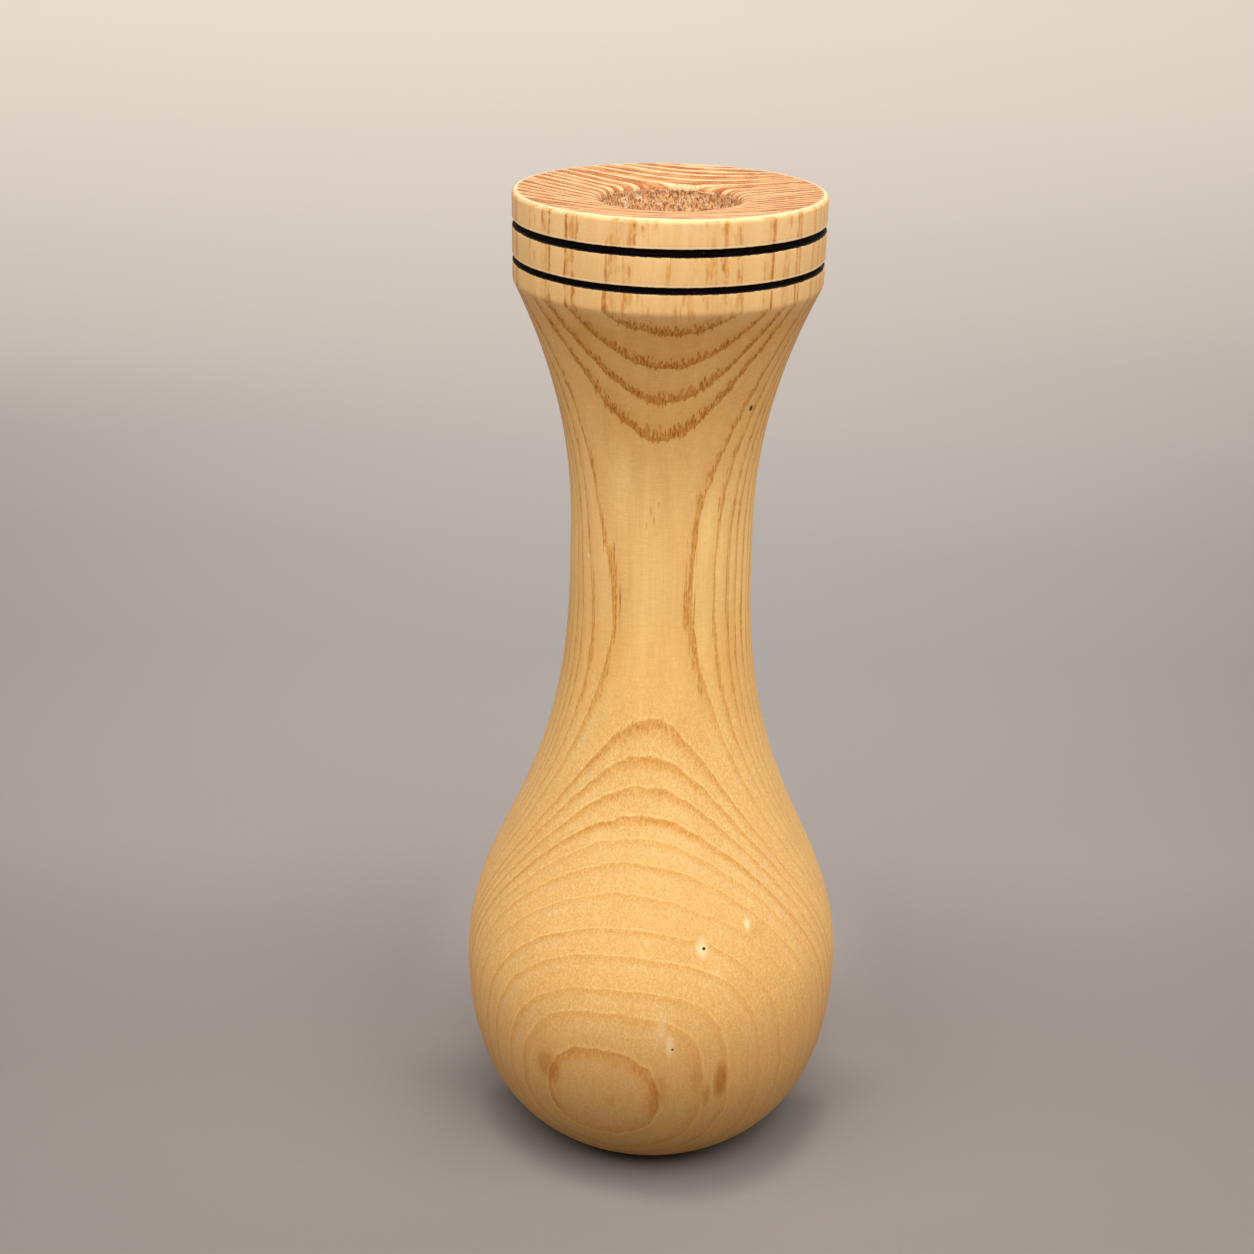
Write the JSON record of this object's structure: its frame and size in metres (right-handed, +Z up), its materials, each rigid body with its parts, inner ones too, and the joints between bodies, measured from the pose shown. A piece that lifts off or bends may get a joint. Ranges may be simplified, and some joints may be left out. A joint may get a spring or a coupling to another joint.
{
  "type": "turned wooden bud vase",
  "caption": "Turned wooden bud vase with a round belly, slim neck and straight rim band with dark burnt lines, a dished mouth, and a lift-out glass water tube.",
  "frame": {"origin": "on the table, under the middle of the foot, at the underside of the felt pad", "axes": "+Z up along the axis of turning, towards the mouth; -Y towards the side that the picture shows"},
  "size_m": [0.0854, 0.0854, 0.2152],
  "materials": {
    "honey_wood": "satin oiled, ring-porous grain",
    "char": "burnt black, with small glints",
    "clear_glass": "clear, polished by fire at the lip",
    "cushion_felt": "pressed felt",
    "foot_felt": "pressed felt"
  },
  "bodies": {
    "vase": {"vase_body": "honey_wood", "upper_burn_line": "char", "lower_burn_line": "char", "tube_cushion": "cushion_felt", "foot_pad": "foot_felt"},
    "liner": {"water_tube": "clear_glass"}
  },
  "joints": [
    {"name": "tube_lift", "type": "slide", "parent": "vase", "child": "liner", "axis": [0, 0, 1], "range_m": [0, 0.168]}
  ]
}
